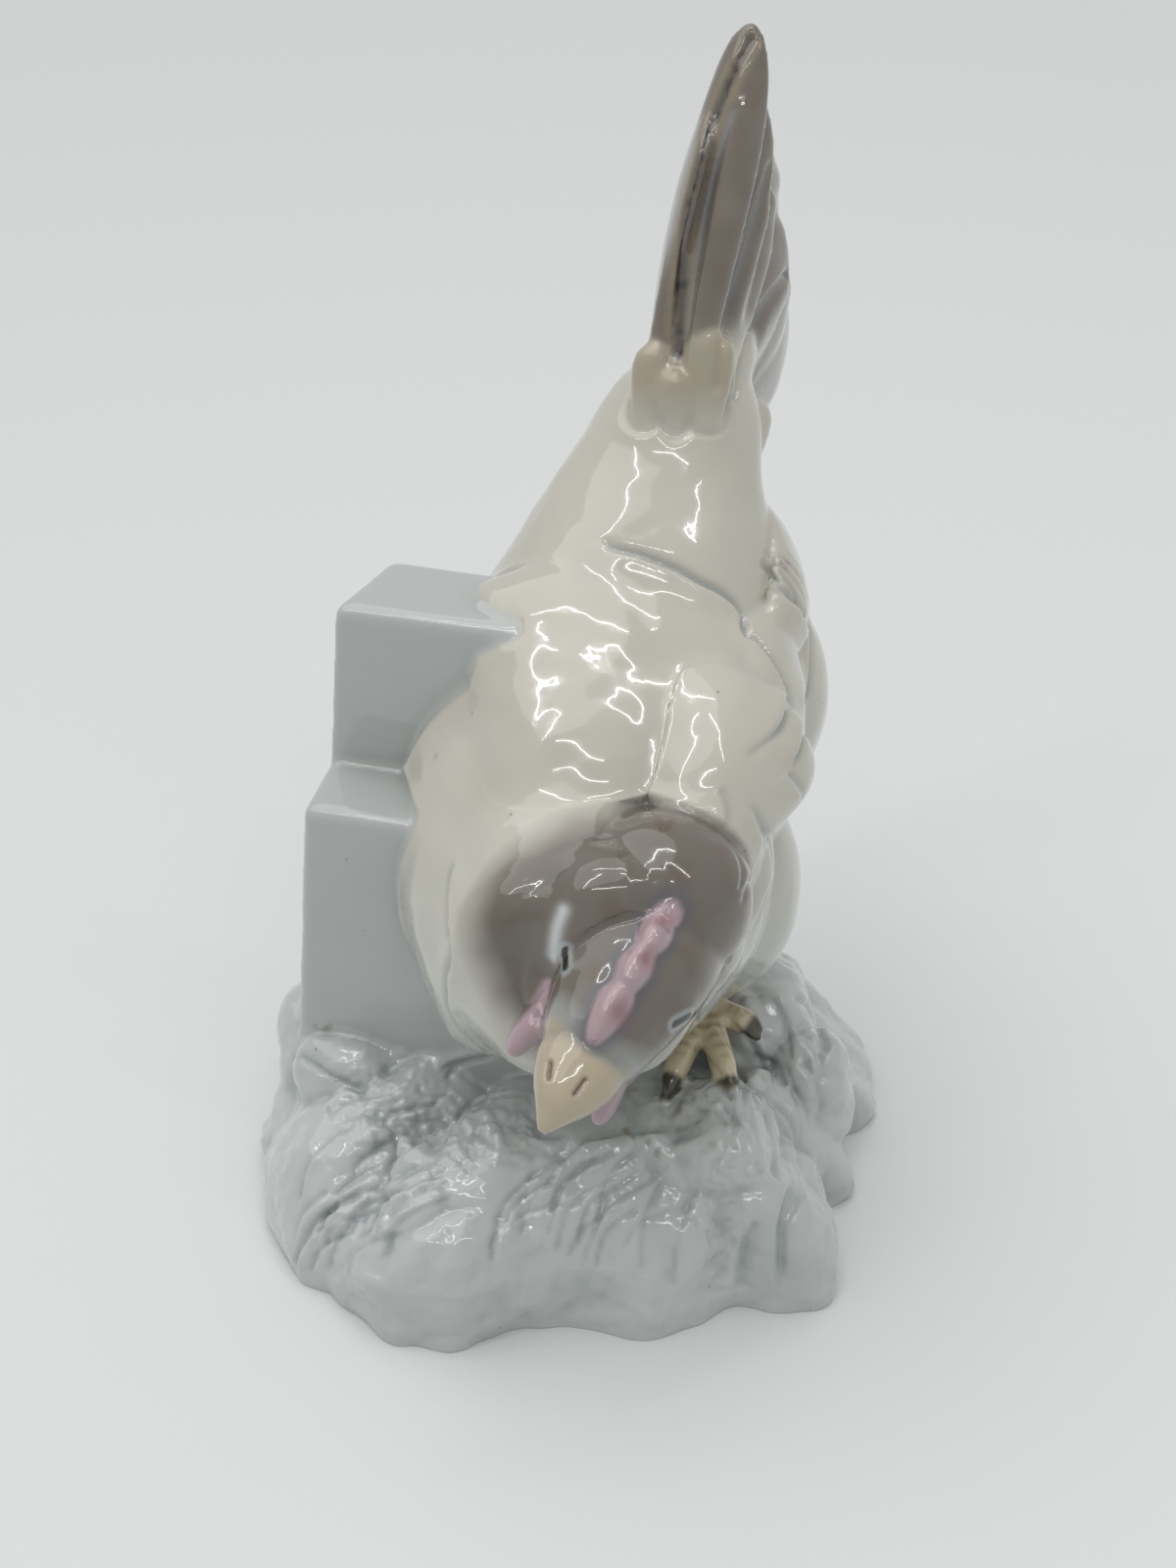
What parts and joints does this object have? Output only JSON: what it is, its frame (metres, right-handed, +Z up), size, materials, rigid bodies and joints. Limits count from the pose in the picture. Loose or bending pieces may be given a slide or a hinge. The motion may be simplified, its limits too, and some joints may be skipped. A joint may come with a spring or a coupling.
{
  "type": "hen figurine",
  "caption": "Glazed porcelain hen on a rock beside a stepped wall, head low and turned, tail raised; stands on a flat unglazed foot rim.",
  "frame": {"origin": "on the table surface, under the middle of the figurine's outline", "axes": "+Z up along the raised tail, -Y towards the lowered head and the viewer, +X towards the hen's left flank"},
  "size_m": [0.127, 0.1616, 0.2089],
  "materials": {
    "porcelain": "glossy"
  },
  "bodies": {
    "root": {"hen_figurine": "porcelain"}
  },
  "joints": []
}
